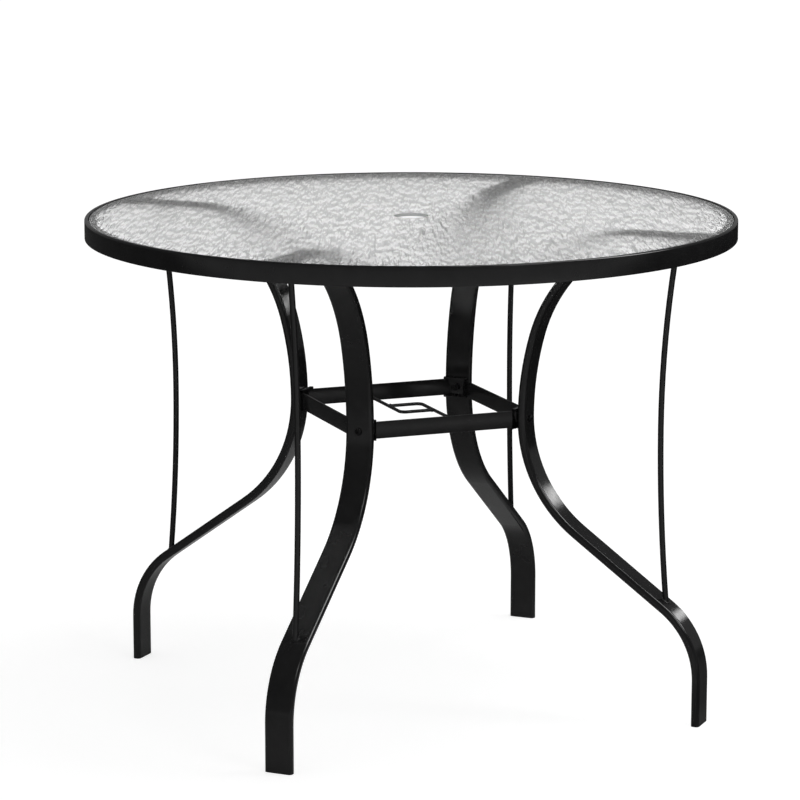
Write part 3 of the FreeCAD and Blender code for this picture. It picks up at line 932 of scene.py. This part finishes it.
def welded(name, paths, count, first_angle, **values):
    """Beads along paths, copied about the axis."""
    coat = finishes["powder_coated_steel"]
    one = made(name + "_one", bead, coat, path_curve(name + "_paths", paths), **values)
    keep(made(name, copies, coat, one, count=count, first_angle=first_angle),
         "powder_coated_steel")
    bpy.data.objects.remove(one)


rod_side = Vector((0, rod_radius, 0))
foot_reach = rod_radius / math.sin(shank_lean - rod_foot_lean)
head_reach = rod_radius / math.cos(rod_head_lean)
down_shank = Vector((math.sin(shank_lean), 0, -math.cos(shank_lean)))
welded("rod_welds", [ellipse(rod_foot, down_shank * foot_reach, rod_side),
                     ellipse(rod_head, Vector((head_reach, 0, 0)), rod_side)],
       4, first_leg, bead_radius=1.5 * MM, rounded_ends=0.0, seed=2.0)

# Beads up the brackets' webs, where the bars' outer faces meet them in narrow corners and the
# inner faces in wide ones, and along the tops of the saddles' cheeks, under the ledge
web_weld_half = Vector((0, 0, bar_height / 2 - 0.8 * MM))
saddle_weld_radii = (458.5 * MM, 468.5 * MM)
saddle_weld_height = ledge_bottom - 0.3 * MM
fillets = []
for way in (-1, 1):
    for face, inset, shift in ((bar_outer, 0.55 * MM, 1.3 * MM),
                               (bar_outer - bar_thickness, 0.5 * MM, -0.2 * MM)):
        corner = Vector((web_inner_face - inset,
                         way * (face * math.sqrt(2) - web_inner_face + shift), brace_height))
        fillets.append(([corner - web_weld_half, corner + web_weld_half], False))
    cheek = way * (saddle_half + saddle_wall + 0.4 * MM)
    fillets.append(([Vector((radius, cheek, saddle_weld_height))
                     for radius in saddle_weld_radii], False))
welded("brace_welds", fillets, 4, first_leg, bead_radius=1.4 * MM, seed=3.0)

# Guide rods: each one's start on a bar and its end on the other rod
guide_start = Vector((-guide_half_pitch, bar_outer - bar_thickness, brace_height))
guide_end = Vector((guide_half_pitch - guide_rod_radius, -guide_half_pitch, brace_height))
guide_up = Vector((0, 0, guide_rod_radius))
welded("guide_welds", [ellipse(guide_start, Vector((guide_rod_radius, 0, 0)), guide_up),
                       ellipse(guide_end, Vector((0, guide_rod_radius, 0)), guide_up)],
       2, 0.0, bead_radius=1.0 * MM, rounded_ends=0.0, seed=5.0)

# Frame nodes that keep their own shape
for name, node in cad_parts.items():
    if name.startswith(("leg_", "support_rod_", "guide_rod_")):
        for material_slot in node.material_slots:
            material_slot.material = finishes["powder_coated_steel"]

# White room: the light in it. Each range goes from its first number to its second while the
# place or direction goes from the third to the fourth
floor_radius = 14.0
pool_outwards = (0.48, 0.07, 0.6, 1.6)
pool_to_the_right = (1.0, 0.15, 0.2, 0.5)
front_to_table = (0.66, 0.0, -1.8, -0.5)
floor_lit = 0.7
white_to_camera = 1.07
dim_gloss = 0.09
band_upwards = (0.10, 0.0, 0.22, 0.36)
band_to_beyond = (0.35, 1.0, 0.5, 0.92)
down_to_horizon = (1.05, 2.8, -0.7, -0.25)
past_horizon = (2.8, 1.1, -0.05, 0.05)
to_overhead = (1.0, 0.3, 0.5, 0.88)
room_light = 0.5

# The floor
floor_mesh = bpy.data.meshes.new("floor")
floor_shape = bmesh.new()
bmesh.ops.create_circle(floor_shape, cap_ends=True, radius=floor_radius, segments=64)
floor_shape.to_mesh(floor_mesh)
floor_shape.free()
floor = bpy.data.objects.new("floor", floor_mesh)
scene.collection.objects.link(floor)
floor_finish = bpy.data.materials.new("pale floor")
floor_finish.use_nodes = True
tree = floor_finish.node_tree
shader = tree.nodes["Principled BSDF"]

# Pale in front of the table and in a pool round it, but not to its right. What the lamps show
# of that counts as 0.7 of it, and the rest, up to a little more than white, comes as light that
# only rays to the camera see. The pane looks through the floor
spot = add(tree, "ShaderNodeTexCoord").outputs["Object"]
behind = measured(tree, "DOT_PRODUCT", spot, photo_along)
beside = measured(tree, "DOT_PRODUCT", spot, photo_across)
far = measured(tree, "LENGTH", spot)
pool = maths(tree, "MULTIPLY", ranged(tree, far, *pool_outwards),
             ranged(tree, beside, *pool_to_the_right))
pale = maths(tree, "MAXIMUM", pool, ranged(tree, behind, *front_to_table))
tree.links.new(add(tree, "ShaderNodeCombineColor", {0: pale, 1: pale, 2: pale}).outputs[0],
               shader.inputs["Base Color"])
shader.inputs["Roughness"].default_value = 0.9
shader.inputs["Specular IOR Level"].default_value = 0.1
path = add(tree, "ShaderNodeLightPath").outputs
lacking = maths(tree, "SUBTRACT", white_to_camera, maths(tree, "MULTIPLY", pale, floor_lit))
to_camera = maths(tree, "MULTIPLY", path["Is Camera Ray"], lacking)
tree.links.new(to_camera, shader.inputs["Emission Strength"])
shader.inputs["Emission Color"].default_value = white
seen = add(tree, "ShaderNodeMixShader", {
    0: path["Is Transmission Ray"], 1: shader.outputs[0],
    2: add(tree, "ShaderNodeBsdfTransparent").outputs[0]}).outputs[0]
tree.links.new(seen, tree.nodes["Material Output"].inputs["Surface"])
floor_mesh.materials.append(floor_finish)

# Beyond the floor: gloss shows the room dim, with a band above the horizon that is brightest
# beyond the table. Rays through the pane find it brightest just below the horizon and dark
# overhead. To the camera it is white, and it lights matt surfaces at half that
world = bpy.data.worlds.new("white room")
scene.world = world
world.use_nodes = True
tree = world.node_tree
tree.nodes.clear()
direction = add(tree, "ShaderNodeTexCoord").outputs["Generated"]
rise = parts(tree, direction)["Z"]
beyond = measured(tree, "DOT_PRODUCT", direction, photo_along)
band = maths(tree, "MULTIPLY", ranged(tree, rise, *band_upwards),
             ranged(tree, beyond, *band_to_beyond))
mirrored = maths(tree, "ADD", dim_gloss, band)
low_down = maths(tree, "MINIMUM", ranged(tree, rise, *down_to_horizon),
                 ranged(tree, rise, *past_horizon))
through = maths(tree, "MULTIPLY", ranged(tree, rise, *to_overhead), low_down)
path = add(tree, "ShaderNodeLightPath").outputs
light = add(tree, "ShaderNodeBackground", {"Color": white, "Strength": room_light}).outputs[0]
for ray, strength in (("Is Glossy Ray", mirrored), ("Is Transmission Ray", through),
                      ("Is Camera Ray", 1.0)):
    shown = add(tree, "ShaderNodeBackground", {"Color": white, "Strength": strength}).outputs[0]
    light = add(tree, "ShaderNodeMixShader", {0: path[ray], 1: light, 2: shown}).outputs[0]
add(tree, "ShaderNodeOutputWorld", {"Surface": light})


def left_out(name, *pieces):
    """A collection of pieces that a lamp doesn't light."""
    unlit = bpy.data.collections.new(name)
    for k, piece in enumerate(pieces):
        unlit.objects.link(piece)
        unlit.collection_objects[k].light_linking.link_state = "EXCLUDE"
    return unlit


not_pane = left_out("pane not lit by the lamps", pane)
not_top = left_out("top not lit by the strip", pane, rim)


def lamp(name, place, target, width, length, power, unlit=not_pane, gloss_only=False):
    """A soft rectangular lamp aimed at a point, seen in gloss alone if gloss_only.

    The unlit pieces neither take its light nor mirror it."""
    data = bpy.data.lights.new(name, "AREA")
    data.shape = "RECTANGLE"
    data.size = width
    data.size_y = length
    data.energy = power
    source = bpy.data.objects.new(name, data)
    source.location = place
    source.rotation_euler = (Vector(target) - Vector(place)).to_track_quat("-Z", "Y").to_euler()
    source.visible_camera = False
    source.visible_diffuse = not gloss_only
    source.light_linking.receiver_collection = unlit
    scene.collection.objects.link(source)


# Each lamp's place, the point it is aimed at, its width, length and power
lamp("overhead_softbox", (1.0, -0.2, 3.0), (0, 0, 0.5), 1.5, 1.5, 24)
lamp("front_softbox", (0.9, -2.9, 2.1), (0, 0, 0.3), 0.9, 0.9, 12)
lamp("right_softbox", (2.3, -1.1, 2.4), (0, 0, 0.3), 0.7, 1.4, 12)
lamp("edge_softbox", (2.35, -1.15, 2.45), (-0.2, -0.2, 0.3), 1.3, 1.8, 45, gloss_only=True)
lamp("back_strip", (2.92, 1.16, 1.14), (0.2, -0.1, 0.36), 0.2, 0.4, 1.6, not_top)

# Camera at the photograph's place
camera_data = bpy.data.cameras.new("camera")
camera_data.sensor_width = 36.0
camera_data.lens = 153.78
camera = bpy.data.objects.new("camera", camera_data)
camera.location = (-1.8104, -4.5955, 1.43375)
camera.rotation_euler = (math.radians(78.635), 0.0, math.radians(-21.313))
scene.collection.objects.link(camera)
scene.camera = camera
scene.view_settings.view_transform = "Standard"
